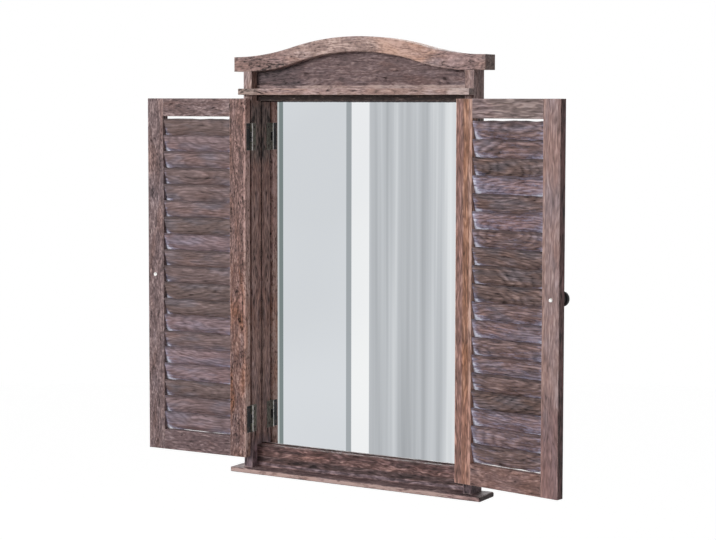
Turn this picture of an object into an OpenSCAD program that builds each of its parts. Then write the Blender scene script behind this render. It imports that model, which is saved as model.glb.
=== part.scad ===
// Wall mirror with a pair of louvred shutters.
//
// X runs to the right seen from the front, +Y into the wall and +Z up. The wall
// is the plane Y = 0 and the underside of the sill is Z = 0, so the origin is the
// middle of the sill's lower rear edge. The left half is drawn and the right half
// is its mirror image. Each shutter is drawn shut and then swung open on its pins.

/* [Frame] */
// Overall height, from the sill's underside to the top of the crown
total_h = 710; // [705:1:725]
// Width over the two side posts
frame_w = 420; // [405:1:440]
// Thickness of a side post, seen from the front
post_t = 16; // [15:0.5:17]
// Depth of a side post, from the wall to its front
post_d = 34; // [33:0.5:38]
// Depth of the head and bottom rails, from the wall to their fronts
rail_d = 19.6; // [18:0.1:19.6]
// Height of the bottom rail
bottom_rail_h = 36.5; // [30:0.5:45]
// Radius of the eased edges on every board
arris = 1.2; // [0.6:0.1:2]

/* [Crown and ledge] */
// Width of the crown plank
crown_w = 457; // [440:1:480]
// Height of the crown's underside at its two ends
crown_z = 656; // [650:1:660]
// Thickness of the crown at its two ends
crown_end_t = 23.5; // [18:0.5:26]
// How far the crown's underside rises to the middle
arch_rise = 30; // [15:1:32]
// Height of the ledge's underside
ledge_z = 618.3; // [616:0.1:624]
// Thickness of the ledge
ledge_t = 10; // [8:0.5:14]
// Depth of the ledge, from the wall to its front
ledge_d = 50.5; // [44:0.5:60]
// How far the head rail shows below the ledge
head_lip = 9.9; // [8:0.1:14]
// Depth of the pediment panel, from the wall to its front
panel_d = 19; // [17:0.5:19.5]
// Thickness of the pediment panel
panel_t = 13; // [8:1:15]

/* [Sill] */
// Width of the sill
sill_w = 461; // [445:1:480]
// Depth of the sill, from the wall to its front
sill_d = 46; // [44:1:60]
// Thickness of the sill
sill_t = 8; // [8:0.5:12]

/* [Mirror] */
// Thickness of the mirror glass
glass_t = 2.5; // [2:0.5:3]
// Thickness of the back board
board_t = 2.2; // [1.8:0.1:2.4]
// Width of the rebate that the glass lies in
rebate_w = 5.5; // [4:0.5:6]
// Depth of the rebate, from the wall to the front of the glass
rebate_d = 6.8; // [6.6:0.1:8]

/* [Shutters] */
// Width of one shutter
shutter_w = 191.4; // [190.4:0.1:191.4]
// Height of one shutter
shutter_h = 584.8; // [570:0.1:585]
// Thickness of a shutter's stiles and rails
shutter_t = 14; // [13:0.1:14.2]
// Height of a shutter's lower edge above the sill's underside
shutter_z = 27.8; // [20:0.1:32]
// Width of a stile
stile_w = 31; // [28:1:36]
// Height of a shutter's top rail
top_rail_h = 29.5; // [26:0.5:36]
// Height of a shutter's lower rail
lower_rail_h = 33; // [28:0.5:40]
// Angle that the left shutter stands open, 0 is shut
left_open = 178; // [0:0.5:185]
// Angle that the right shutter stands open, 0 is shut
right_open = 169.5; // [0:0.5:185]

/* [Louvre slats] */
// Number of slats in a shutter
slat_n = 19; // [15:1:19]
// Width of a slat, across its grain
slat_w = 31; // [30:0.5:33]
// Thickness of a slat
slat_t = 5; // [4.2:0.1:5.4]
// Lean of a slat from the upright, its top edge towards the mirror
slat_tilt = 15.5; // [12:0.5:16]
// Depth of the housings in the stiles that the slats' ends sit in
slat_seat = 4; // [2:0.5:6]
// Gap over the top slat
top_gap = 3.4; // [2:0.1:5]
// Gap under the lowest slat
low_gap = 1.1; // [0.5:0.1:4]

/* [Hinges and knobs] */
// Height of a hinge
leaf_h = 44; // [38:1:50]
// Reach of a hinge leaf from the pin's axis
leaf_w = 14.5; // [13:0.5:16]
// Thickness of a hinge leaf
leaf_t = 1; // [0.8:0.1:1]
// Diameter over a hinge's knuckle
knuckle_d = 5.6; // [5:0.1:6.4]
// Diameter of a hinge pin
pin_d = 2.6; // [2:0.1:3]
// How far the pin's axis stands in front of the posts
axis_out = 3.2; // [3.2:0.1:7.4]
// Distance from a shutter's end to the middle of the hinge
hinge_inset = 62; // [45:1:90]
// Diameter of a knob
knob_d = 23; // [18:1:26]
// How far a knob stands out
knob_out = 23; // [18:1:24]
// Distance from a shutter's free edge to its knob
knob_in = 14.5; // [12:0.5:16]

/* [Hidden] */
$fn = 48;
eps = 1;
LEFT = "left";
RIGHT = "right";

wood_post = "#6E5650";
wood_crown = "#84695F";
wood_panel = "#5F4B48";
wood_sill = "#7A6159";
wood_shutter = "#705751";
wood_slat = "#5C4B4A";
beech = "#B59468";
hardboard = "#7C5B40";
silver = "#C8CDD2";
zinc = "#B4B6B8";
black_steel = "#26272A";
black_knob = "#17171A";

half_w = frame_w / 2;
post_x = half_w - post_t;
post_mid = half_w - post_t / 2;
post_h = crown_z - sill_t;
head_z = ledge_z - head_lip;
panel_z = ledge_z + ledge_t;
bottom_rail_z = sill_t;
rail_top_z = bottom_rail_z + bottom_rail_h;

// The rebate runs round the back of the posts and the two rails
rebate_lap = 10;
rebate_z = rail_top_z - rebate_lap;
rebate_top = head_z + rebate_lap;
pane_gap = 0.5;
pane_w = 2 * (post_x + rebate_w - pane_gap);
pane_z = rebate_z + pane_gap;
pane_h = rebate_top - rebate_z - 2 * pane_gap;

// The crown's two waves: a crest between two hollows that run out level
crown_top_z = crown_z + crown_end_t;
top_rise = total_h - crown_top_z;
top_half = crown_w / 2 - 3;
top_crest_r = 442;
arch_half = post_x;
arch_crest_r = 390;
crest_steps = 22;
hollow_steps = 11;

// The frame's leaf lies on the post and the shutter's is let in; the pin is between their faces
leaf_gap = 0.2;
axis_gap = leaf_t + leaf_gap;
axis_x = post_x - axis_gap;
axis_y = post_d + axis_out;
hinge_zs = [shutter_z + hinge_inset, shutter_z + shutter_h - hinge_inset];
knuckle_gap = 0.3;
knuckle_h = (leaf_h - 2 * knuckle_gap) / 3;
bore_play = 0.05;
leaf_screw_z = 15.2;
leaf_screw_y = 9;

slat_r = 2;
slat_rise = (slat_w - 2 * slat_r) * cos(slat_tilt)
    + (slat_t - 2 * slat_r) * sin(slat_tilt) + 2 * slat_r;
slat_zone = shutter_h - top_rail_h - lower_rail_h - top_gap - low_gap;
slat_pitch = (slat_zone - slat_rise) / (slat_n - 1);
slat_z = lower_rail_h + low_gap + slat_rise / 2;
panel_gap_w = shutter_w - 2 * stile_w;
tenon_l = 12;
tenon_t = 6;
tenon_h = 20;

screw_head_d = 5.2;
screw_shank_d = 2.6;
leaf_screw_l = 12;
sill_screw_head_d = 7;
sill_screw_d = 3.4;
sill_screw_l = 30;
sill_screw_ys = [-6, -27];
crown_pin_d = 2;
crown_pin_l = 38;
crown_pin_ys = [-15, -28];
dowel_d = 6;
dowel_in_post = 8;
dowel_l = 20;
dowel_y = -12.6;
dowel_zs = [bottom_rail_z + 8.5, bottom_rail_z + 22, head_z + 13];
board_pin_d = 1.2;
board_pin_l = 16;
board_pin_y = -rebate_d + glass_t + board_t + board_pin_d / 2;
board_pin_zs = [rebate_z + 65, rebate_z + 290, rebate_z + 520];
board_pin_x = 100;

// Keyhole hanging plates, let in flush at the top of the posts' backs
hanger_w = 12;
hanger_h = 32;
hanger_t = 1.5;
hanger_z = 622;
hanger_hole_d = 8.4;
hanger_slot_d = 4.6;
hanger_hole_z = hanger_z + 12;
hanger_slot_top = hanger_hole_z + 9;
hanger_pocket_d = 10;
hanger_pocket_deep = 9;
hanger_screw_zs = [hanger_z + 4, hanger_z + 28];
hanger_screw_d = 2.6;
hanger_screw_l = 11;

knob_screw_d = 4;
knob_screw_deep = 12;
knob_screw_head_d = 6.6;
knob_screw_head_h = 1.8;

// ---------- outlines ----------

// A rectangle from the origin with its four corners rounded in short steps
function eased(w, h, r, steps = 3) = [
    for (corner = [[w - r, h - r, 0], [r, h - r, 90], [r, r, 180], [w - r, r, 270]])
        for (i = [0 : steps])
            [corner[0] + r * cos(corner[2] + 90 * i / steps),
             corner[1] + r * sin(corner[2] + 90 * i / steps)]
];

// Points on an arc, from angle a to angle b, without its first point if open is 1
function arc(cx, cy, r, a, b, steps, open = 0) = [
    for (i = [open : steps])
        let (t = a + (b - a) * i / steps)
        [cx + r * cos(t), cy + r * sin(t)]
];

// A crest between two hollows, left to right. It leaves and joins the level
// line z0 at -half and +half, and shift moves the whole line square to itself.
function wave(half, z0, rise, crest_r, shift) =
    let (turn = 2 * atan(rise / half), hollow_r = half / sin(turn) - crest_r)
    concat(
        arc(-half, z0 + hollow_r, hollow_r - shift, -90, -90 + turn, hollow_steps),
        arc(0, z0 + rise - crest_r, crest_r + shift, 90 + turn, 90 - turn, crest_steps, 1),
        arc(half, z0 + hollow_r, hollow_r - shift, -90 - turn, -90, hollow_steps, 1)
    );

function backwards(list) = [for (i = [len(list) - 1 : -1 : 0]) list[i]];

// The crown seen from the front, drawn in by inset on every side
function crown_outline(inset) = concat(
    [[-crown_w / 2 + inset, crown_z + inset]],
    wave(arch_half, crown_z, arch_rise, arch_crest_r, inset),
    [[crown_w / 2 - inset, crown_z + inset],
     [crown_w / 2 - inset, crown_top_z - inset]],
    backwards(wave(top_half, crown_top_z, top_rise, top_crest_r, -inset)),
    [[-crown_w / 2 + inset, crown_top_z - inset]]
);

// ---------- shapes that repeat ----------

// A bar along X with its four long edges eased
module bar_x(size, r = arris) {
    rotate([90, 0, 90])
        linear_extrude(size[0])
            polygon(eased(size[1], size[2], r));
}

// A bar along Z with its four long edges eased
module bar_z(size, r = arris) {
    linear_extrude(size[2])
        polygon(eased(size[0], size[1], r));
}

// A board with all its edges eased
module eased_board(size, r = arris) {
    intersection() {
        bar_z(size, r);
        bar_x(size, r);
        translate([0, size[1], 0])
            rotate([90, 0, 0])
                linear_extrude(size[1])
                    polygon(eased(size[0], size[2], r));
    }
}

// A round bar along X, from x = 0
module rod_x(d, l) {
    rotate([0, 90, 0])
        cylinder(h = l, d = d);
}

// A round bar along Y, from y = 0 towards the front
module rod_y(d, l) {
    rotate([90, 0, 0])
        cylinder(h = l, d = d);
}

// Countersunk screw along +Z, its head flush with z = 0
module screw(head_d, shank_d, l) {
    cone_h = (head_d - shank_d) / 2;
    cross_w = head_d / 7;
    cross_l = head_d * 0.56;
    difference() {
        union() {
            cylinder(h = cone_h, d1 = head_d, d2 = shank_d);
            cylinder(h = l, d = shank_d);
        }
        for (a = [0, 90])
            rotate([0, 0, a])
                translate([-cross_l / 2, -cross_w / 2, -eps])
                    cube([cross_l, cross_w, eps + cone_h * 0.7]);
    }
}

// The hole that a countersunk screw sits in, open to the side of its head
module screw_hole(head_d, shank_d, l) {
    cone_h = (head_d - shank_d) / 2;
    cylinder(h = cone_h, d1 = head_d, d2 = shank_d);
    cylinder(h = l, d = shank_d);
    translate([0, 0, -eps])
        cylinder(h = eps, d = head_d);
}

// The left half as it is, or the same as the right half
module half(side) {
    mirror([side == RIGHT ? 1 : 0, 0, 0])
        children();
}

// Puts what is drawn round a pin's axis on that side of the frame
module at_pin(side) {
    half(side)
        translate([-axis_x, -axis_y, 0])
            children();
}

// Swings what is drawn round a pin's axis open with its shutter
module swung(side) {
    at_pin(side)
        rotate([0, 0, side == LEFT ? -left_open : -right_open])
            children();
}

// Shutter space: x from the hinge edge to the free edge, y from the outer face
// to the face that lies towards the mirror when shut, z from the lower edge
module on_shutter(side) {
    swung(side)
        translate([leaf_gap, axis_out, shutter_z])
            children();
}

// ---------- frame ----------

module post(side) {
    color(wood_post)
        half(side)
            difference() {
                translate([-half_w, -post_d, sill_t])
                    bar_z([post_t, post_d, post_h]);
                post_rebate();
                post_dowel_bores();
                post_screw_bores();
                hanger_recess();
            }
}

module post_rebate() {
    translate([-post_x - rebate_w, -rebate_d, rebate_z])
        cube([rebate_w + eps, rebate_d + eps, rebate_top - rebate_z]);
    for (z = board_pin_zs)
        translate([-post_x - rebate_w - board_pin_l / 2, board_pin_y, z])
            rod_x(board_pin_d, board_pin_l);
}

module post_dowel_bores() {
    for (z = dowel_zs)
        translate([-post_x - dowel_in_post, dowel_y, z])
            rod_x(dowel_d, dowel_l);
}

module post_screw_bores() {
    for (z = hinge_zs, dz = [-leaf_screw_z, leaf_screw_z])
        translate([-axis_x - leaf_gap, leaf_screw_y - axis_y, z + dz])
            rotate([0, -90, 0])
                screw_hole(screw_head_d, screw_shank_d, leaf_screw_l);
    for (y = sill_screw_ys)
        translate([-post_mid, y, 0])
            cylinder(h = sill_screw_l, d = sill_screw_d);
    for (y = crown_pin_ys)
        translate([-post_mid, y, crown_top_z - crown_pin_l])
            cylinder(h = crown_pin_l, d = crown_pin_d);
}

module hanger_recess() {
    translate([-post_mid - hanger_w / 2, -hanger_t, hanger_z])
        cube([hanger_w, hanger_t + eps, hanger_h]);
    translate([-post_mid, 0, hanger_hole_z])
        rod_y(hanger_pocket_d, hanger_t + hanger_pocket_deep);
    translate([-post_mid, 0, hanger_slot_top])
        rod_y(hanger_pocket_d, hanger_t + hanger_pocket_deep);
    translate([-post_mid - hanger_pocket_d / 2, -hanger_t - hanger_pocket_deep, hanger_hole_z])
        cube([hanger_pocket_d, hanger_pocket_deep + hanger_t, hanger_slot_top - hanger_hole_z]);
    for (z = hanger_screw_zs)
        translate([-post_mid, 0, z])
            rod_y(hanger_screw_d, hanger_screw_l);
}

// The crown is sawn from one plank, and its edges are eased all round. Four
// outlines, one behind the other, are joined by strips of triangles.
module crown() {
    rings = [[-post_d, arris], [-post_d + arris, 0], [-arris, 0], [0, arris]];
    count = len(crown_outline(0));
    last = (len(rings) - 1) * count;
    points = [
        for (ring = rings)
            for (p = crown_outline(ring[1]))
                [p[0], ring[0], p[1]]
    ];
    sides = [
        for (k = [0 : len(rings) - 2])
            for (i = [0 : count - 1])
                let (a = k * count + i, b = k * count + (i + 1) % count)
                for (face = [[a, b, b + count], [a, b + count, a + count]])
                    face
    ];
    front = [
        for (i = [0 : count / 2 - 2])
            let (c = count - 2 - i)
            for (face = [[c, i + 1, i], [c + 1, c, i]])
                face
    ];
    back = [for (face = front) [for (corner = backwards(face)) last + corner]];
    color(wood_crown)
        difference() {
            polyhedron(points, concat(front, sides, back));
            for (side = [LEFT, RIGHT], y = crown_pin_ys)
                half(side)
                    translate([-post_mid, y, crown_top_z - crown_pin_l])
                        cylinder(h = crown_pin_l + eps, d = crown_pin_d);
        }
}

// The panel fills the arch: its top edge is the crown's underside
module pediment_panel() {
    color(wood_panel)
        translate([0, -panel_d + panel_t, 0])
            rotate([90, 0, 0])
                linear_extrude(panel_t)
                    polygon(concat(
                        [[-arch_half, panel_z], [arch_half, panel_z]],
                        backwards(wave(arch_half, crown_z, arch_rise, arch_crest_r, 0))
                    ));
}

module head_rail() {
    color(wood_panel)
        difference() {
            translate([-post_x, -rail_d, head_z])
                bar_x([2 * post_x, rail_d, panel_z - head_z]);
            translate([-post_x - eps, -rebate_d, head_z - eps])
                cube([2 * (post_x + eps), rebate_d + eps, rebate_lap + eps]);
            rail_bores([dowel_zs[2]]);
            for (x = [-board_pin_x, board_pin_x])
                translate([x, board_pin_y, rebate_top - board_pin_l / 2])
                    cylinder(h = board_pin_l, d = board_pin_d);
        }
}

// The ledge crosses the fronts of the posts and is notched back between them
module ledge() {
    color(wood_crown) {
        translate([-half_w, -ledge_d, ledge_z])
            eased_board([frame_w, ledge_d - post_d, ledge_t]);
        translate([-post_x, -post_d - arris, ledge_z])
            cube([2 * post_x, post_d - rail_d + arris, ledge_t]);
    }
}

module bottom_rail() {
    color(wood_panel)
        difference() {
            translate([-post_x, -rail_d, bottom_rail_z])
                bar_x([2 * post_x, rail_d, bottom_rail_h]);
            translate([-post_x - eps, -rebate_d, rebate_z])
                cube([2 * (post_x + eps), rebate_d + eps, rebate_lap + eps]);
            rail_bores([dowel_zs[0], dowel_zs[1]]);
            for (x = [-board_pin_x, board_pin_x])
                translate([x, board_pin_y, rebate_z - board_pin_l / 2])
                    cylinder(h = board_pin_l, d = board_pin_d);
        }
}

module rail_bores(zs) {
    for (side = [LEFT, RIGHT], z = zs)
        half(side)
            translate([-post_x - dowel_in_post, dowel_y, z])
                rod_x(dowel_d, dowel_l);
}

module sill() {
    edge_r = 2.4;
    plan_r = 4;
    color(wood_sill)
        difference() {
            intersection() {
                translate([-sill_w / 2, -sill_d, 0])
                    bar_x([sill_w, sill_d + edge_r, sill_t], edge_r);
                translate([-sill_w / 2, -sill_d, 0])
                    linear_extrude(sill_t)
                        intersection() {
                            polygon(eased(sill_w, sill_d + plan_r, plan_r, 5));
                            square([sill_w, sill_d]);
                        }
                translate([-sill_w / 2, 0, 0])
                    rotate([90, 0, 0])
                        linear_extrude(sill_d)
                            polygon(eased(sill_w, sill_t, edge_r));
            }
            for (side = [LEFT, RIGHT], y = sill_screw_ys)
                half(side)
                    translate([-post_mid, y, 0])
                        screw_hole(sill_screw_head_d, sill_screw_d, sill_screw_l);
        }
}

// ---------- mirror and back ----------

module mirror_glass() {
    color(silver)
        translate([-pane_w / 2, -rebate_d, pane_z])
            cube([pane_w, glass_t, pane_h]);
}

module back_board() {
    color(hardboard)
        translate([-pane_w / 2, -rebate_d + glass_t, pane_z])
            cube([pane_w, board_t, pane_h]);
}

// Headless pins lie on the back board, half their length in the rebate's wall
module board_pins() {
    color(zinc) {
        for (side = [LEFT, RIGHT], z = board_pin_zs)
            half(side)
                translate([-post_x - rebate_w - board_pin_l / 2, board_pin_y, z])
                    rod_x(board_pin_d, board_pin_l);
        for (x = [-board_pin_x, board_pin_x], z = [rebate_z, rebate_top])
            translate([x, board_pin_y, z - board_pin_l / 2])
                cylinder(h = board_pin_l, d = board_pin_d);
    }
}

module frame_dowels() {
    color(beech)
        for (side = [LEFT, RIGHT], z = dowel_zs)
            half(side)
                translate([-post_x - dowel_in_post, dowel_y, z])
                    rod_x(dowel_d, dowel_l);
}

module crown_pins() {
    color(black_steel)
        for (side = [LEFT, RIGHT], y = crown_pin_ys)
            half(side)
                translate([-post_mid, y, crown_top_z - crown_pin_l])
                    cylinder(h = crown_pin_l, d = crown_pin_d);
}

module sill_screws() {
    color(zinc)
        for (side = [LEFT, RIGHT], y = sill_screw_ys)
            half(side)
                translate([-post_mid, y, 0])
                    screw(sill_screw_head_d, sill_screw_d, sill_screw_l);
}

// A keyhole: the wall screw's head passes the round hole and hangs in the slot
module hanger_plate(side) {
    color(zinc)
        half(side)
            difference() {
                translate([-post_mid - hanger_w / 2, -hanger_t, hanger_z])
                    cube([hanger_w, hanger_t, hanger_h]);
                translate([-post_mid, eps, hanger_hole_z])
                    rod_y(hanger_hole_d, hanger_t + 2 * eps);
                translate([-post_mid, eps, hanger_slot_top])
                    rod_y(hanger_slot_d, hanger_t + 2 * eps);
                translate([-post_mid - hanger_slot_d / 2, -hanger_t - eps, hanger_hole_z])
                    cube([hanger_slot_d, hanger_t + 2 * eps, hanger_slot_top - hanger_hole_z]);
                for (z = hanger_screw_zs)
                    translate([-post_mid, 0, z])
                        rotate([90, 0, 0])
                            screw_hole(screw_head_d, hanger_screw_d, hanger_screw_l);
            }
}

module hanger_screws() {
    color(zinc)
        for (side = [LEFT, RIGHT], z = hanger_screw_zs)
            half(side)
                translate([-post_mid, 0, z])
                    rotate([90, 0, 0])
                        screw(screw_head_d, hanger_screw_d, hanger_screw_l);
}

// ---------- shutters ----------

// One slat seen along its length, leaning towards the mirror at the top
module slat_section() {
    translate([shutter_t / 2, 0])
        rotate([0, 0, -slat_tilt])
            translate([-slat_t / 2, -slat_w / 2])
                polygon(eased(slat_t, slat_w, slat_r));
}

// The whole stack of slats, from x0 for the given length
module slat_stack(x0, l) {
    for (i = [0 : slat_n - 1])
        translate([x0, 0, slat_z + i * slat_pitch])
            rotate([90, 0, 90])
                linear_extrude(l)
                    slat_section();
}

module rail_tenon(x0, l, z0) {
    translate([x0, (shutter_t - tenon_t) / 2, z0])
        cube([l, tenon_t, tenon_h]);
}

module both_tenons(x0, l) {
    rail_tenon(x0, l, (lower_rail_h - tenon_h) / 2);
    rail_tenon(x0, l, shutter_h - (top_rail_h + tenon_h) / 2);
}

module hinge_stile(side) {
    color(wood_shutter)
        on_shutter(side)
            difference() {
                eased_board([stile_w, shutter_t, shutter_h]);
                slat_stack(stile_w - slat_seat, slat_seat + eps);
                both_tenons(stile_w - tenon_l, tenon_l + eps);
                for (z = hinge_zs) {
                    // The leaf is let in flush, so its housing opens at the outer face
                    translate([-eps, -eps, z - leaf_h / 2 - shutter_z])
                        cube([eps + leaf_t, eps + leaf_w - axis_out, leaf_h]);
                    for (dz = [-leaf_screw_z, leaf_screw_z])
                        translate([0, leaf_screw_y - axis_out, z + dz - shutter_z])
                            rotate([0, 90, 0])
                                screw_hole(screw_head_d, screw_shank_d, leaf_screw_l);
                }
            }
}

module lock_stile(side) {
    color(wood_shutter)
        on_shutter(side)
            difference() {
                translate([shutter_w - stile_w, 0, 0])
                    eased_board([stile_w, shutter_t, shutter_h]);
                slat_stack(shutter_w - stile_w - eps, slat_seat + eps);
                both_tenons(shutter_w - stile_w - eps, tenon_l + eps);
                translate([shutter_w - knob_in, shutter_t + eps, shutter_h / 2])
                    rod_y(knob_screw_d, shutter_t + 2 * eps);
            }
}

module shutter_rail(side, h, z0) {
    color(wood_shutter)
        on_shutter(side) {
            translate([stile_w, 0, z0])
                bar_x([panel_gap_w, shutter_t, h]);
            rail_tenon(stile_w - tenon_l, panel_gap_w + 2 * tenon_l, z0 + (h - tenon_h) / 2);
        }
}

module slats(side) {
    color(wood_slat)
        on_shutter(side)
            slat_stack(stile_w - slat_seat, panel_gap_w + 2 * slat_seat);
}

// ---------- knobs ----------

module at_knob(side) {
    on_shutter(side)
        translate([shutter_w - knob_in, 0, shutter_h / 2])
            rotate([90, 0, 0])
                children();
}

// Turned knob: a foot, a waist and a domed head
module knob(side) {
    foot_r = 6.2;
    foot_h = 1.6;
    waist_r = 4.4;
    waist_z = 8;
    head_r = knob_d / 2;
    rim_z = 15.5;
    rim_r = 1.6;
    dome_h = knob_out - rim_z;
    under = [for (i = [0 : 6]) let (t = i * 15)
        [waist_r + (head_r - rim_r - waist_r) * (1 - cos(t)), waist_z + (rim_z - rim_r - waist_z) * sin(t)]];
    dome = [for (i = [0 : 8]) let (t = i * 90 / 8)
        [head_r * cos(t), rim_z + dome_h * sin(t)]];
    color(black_knob)
        at_knob(side)
            difference() {
                rotate_extrude($fn = 64)
                    polygon(concat(
                        [[0, 0], [foot_r - 0.4, 0], [foot_r, 0.4], [foot_r, foot_h],
                         [waist_r + 0.6, foot_h + 1]],
                        under,
                        [[head_r - 0.3, rim_z - 0.6]],
                        dome
                    ));
                translate([0, 0, -eps])
                    cylinder(h = knob_screw_deep + eps, d = knob_screw_d);
            }
}

module knob_screw(side) {
    color(zinc)
        at_knob(side)
            difference() {
                union() {
                    translate([0, 0, -shutter_t])
                        cylinder(h = shutter_t + knob_screw_deep, d = knob_screw_d);
                    translate([0, 0, -shutter_t - knob_screw_head_h])
                        cylinder(h = knob_screw_head_h, d1 = knob_screw_head_d - 1.4, d2 = knob_screw_head_d);
                }
                for (a = [45, 135])
                    rotate([0, 0, a])
                        translate([-1.9, -0.45, -shutter_t - knob_screw_head_h - eps])
                            cube([3.8, 0.9, eps + 1.1]);
            }
}

// ---------- hinges ----------

// Drawn round the pin's axis, its middle at z = 0 and its plate towards -X.
// The frame's leaf has the two outer knuckles and the shutter's the middle one.
module hinge_leaf(outer) {
    plate_y = knuckle_d / 2 + 0.5;
    knuckles = outer ? [-leaf_h / 2, leaf_h / 2 - knuckle_h] : [-knuckle_h / 2];
    bore_d = outer ? pin_d : pin_d + 2 * bore_play;
    difference() {
        union() {
            translate([-axis_gap, plate_y, -leaf_h / 2])
                cube([leaf_t, leaf_w - plate_y, leaf_h]);
            for (z = knuckles)
                translate([0, 0, z]) {
                    cylinder(h = knuckle_h, d = knuckle_d);
                    translate([-axis_gap, 0, 0])
                        cube([leaf_t, plate_y + eps, knuckle_h]);
                }
        }
        translate([0, 0, -leaf_h / 2 - eps])
            cylinder(h = leaf_h + 2 * eps, d = bore_d);
        for (z = [-leaf_screw_z, leaf_screw_z])
            translate([-leaf_gap, leaf_screw_y, z])
                rotate([0, -90, 0])
                    screw_hole(screw_head_d, screw_shank_d, leaf_t + eps);
    }
}

module frame_leaf(side, z) {
    color(black_steel)
        at_pin(side)
            translate([0, 0, z])
                hinge_leaf(true);
}

module shutter_leaf(side, z) {
    color(black_steel)
        swung(side)
            translate([0, 0, z])
                mirror([1, 0, 0])
                    hinge_leaf(false);
}

module hinge_pin(side, z) {
    color(zinc)
        at_pin(side)
            translate([0, 0, z - leaf_h / 2])
                cylinder(h = leaf_h, d = pin_d);
}

module leaf_screws() {
    for (z = hinge_zs, dz = [-leaf_screw_z, leaf_screw_z])
        translate([-leaf_gap, leaf_screw_y, z + dz])
            rotate([0, -90, 0])
                screw(screw_head_d, screw_shank_d, leaf_screw_l);
}

module frame_leaf_screws(side) {
    color(zinc)
        at_pin(side)
            leaf_screws();
}

module shutter_leaf_screws(side) {
    color(zinc)
        swung(side)
            mirror([1, 0, 0])
                leaf_screws();
}

post(LEFT);  // left_post
post(RIGHT);  // right_post
crown();
pediment_panel();
head_rail();
ledge();
bottom_rail();
sill();
mirror_glass();
back_board();
frame_dowels();
crown_pins();
sill_screws();
board_pins();
hanger_plate(LEFT);  // left_hanger_plate
hanger_plate(RIGHT);  // right_hanger_plate
hanger_screws();
hinge_stile(LEFT);  // left_hinge_stile
lock_stile(LEFT);  // left_lock_stile
shutter_rail(LEFT, top_rail_h, shutter_h - top_rail_h);  // left_top_rail
shutter_rail(LEFT, lower_rail_h, 0);  // left_lower_rail
slats(LEFT);  // left_slats
knob(LEFT);  // left_knob
knob_screw(LEFT);  // left_knob_screw
hinge_stile(RIGHT);  // right_hinge_stile
lock_stile(RIGHT);  // right_lock_stile
shutter_rail(RIGHT, top_rail_h, shutter_h - top_rail_h);  // right_top_rail
shutter_rail(RIGHT, lower_rail_h, 0);  // right_lower_rail
slats(RIGHT);  // right_slats
knob(RIGHT);  // right_knob
knob_screw(RIGHT);  // right_knob_screw
frame_leaf(LEFT, hinge_zs[1]);  // left_upper_frame_leaf
shutter_leaf(LEFT, hinge_zs[1]);  // left_upper_shutter_leaf
hinge_pin(LEFT, hinge_zs[1]);  // left_upper_hinge_pin
frame_leaf(LEFT, hinge_zs[0]);  // left_lower_frame_leaf
shutter_leaf(LEFT, hinge_zs[0]);  // left_lower_shutter_leaf
hinge_pin(LEFT, hinge_zs[0]);  // left_lower_hinge_pin
frame_leaf(RIGHT, hinge_zs[1]);  // right_upper_frame_leaf
shutter_leaf(RIGHT, hinge_zs[1]);  // right_upper_shutter_leaf
hinge_pin(RIGHT, hinge_zs[1]);  // right_upper_hinge_pin
frame_leaf(RIGHT, hinge_zs[0]);  // right_lower_frame_leaf
shutter_leaf(RIGHT, hinge_zs[0]);  // right_lower_shutter_leaf
hinge_pin(RIGHT, hinge_zs[0]);  // right_lower_hinge_pin
frame_leaf_screws(LEFT);  // left_frame_leaf_screws
shutter_leaf_screws(LEFT);  // left_shutter_leaf_screws
frame_leaf_screws(RIGHT);  // right_frame_leaf_screws
shutter_leaf_screws(RIGHT);  // right_shutter_leaf_screws
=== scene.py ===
"""Wall mirror with two louvred shutters: the finish of every piece, and the studio that it hangs in."""
import math
import random

import bpy
from mathutils import Euler, Matrix, Vector, noise


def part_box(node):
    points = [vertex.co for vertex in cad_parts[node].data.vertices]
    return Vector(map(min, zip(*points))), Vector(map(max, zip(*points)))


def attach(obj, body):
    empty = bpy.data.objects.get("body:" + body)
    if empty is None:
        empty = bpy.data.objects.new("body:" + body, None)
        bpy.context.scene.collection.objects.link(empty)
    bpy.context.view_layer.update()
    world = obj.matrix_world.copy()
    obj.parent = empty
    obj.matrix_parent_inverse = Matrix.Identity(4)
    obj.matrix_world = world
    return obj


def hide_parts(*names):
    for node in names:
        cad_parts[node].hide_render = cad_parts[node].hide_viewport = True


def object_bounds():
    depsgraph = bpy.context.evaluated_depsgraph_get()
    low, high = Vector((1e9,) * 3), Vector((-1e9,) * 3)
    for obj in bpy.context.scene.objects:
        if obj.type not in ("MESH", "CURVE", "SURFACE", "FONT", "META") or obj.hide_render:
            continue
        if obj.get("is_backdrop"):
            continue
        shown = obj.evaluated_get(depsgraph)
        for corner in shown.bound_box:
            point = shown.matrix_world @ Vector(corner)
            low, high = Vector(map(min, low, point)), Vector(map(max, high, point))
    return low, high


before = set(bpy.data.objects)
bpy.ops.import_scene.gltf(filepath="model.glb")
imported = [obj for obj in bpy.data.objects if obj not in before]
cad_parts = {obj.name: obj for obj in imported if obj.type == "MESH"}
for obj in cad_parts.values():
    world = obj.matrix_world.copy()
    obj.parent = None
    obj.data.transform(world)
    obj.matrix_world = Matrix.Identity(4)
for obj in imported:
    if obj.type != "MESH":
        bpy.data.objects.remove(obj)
cad_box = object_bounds()

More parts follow.
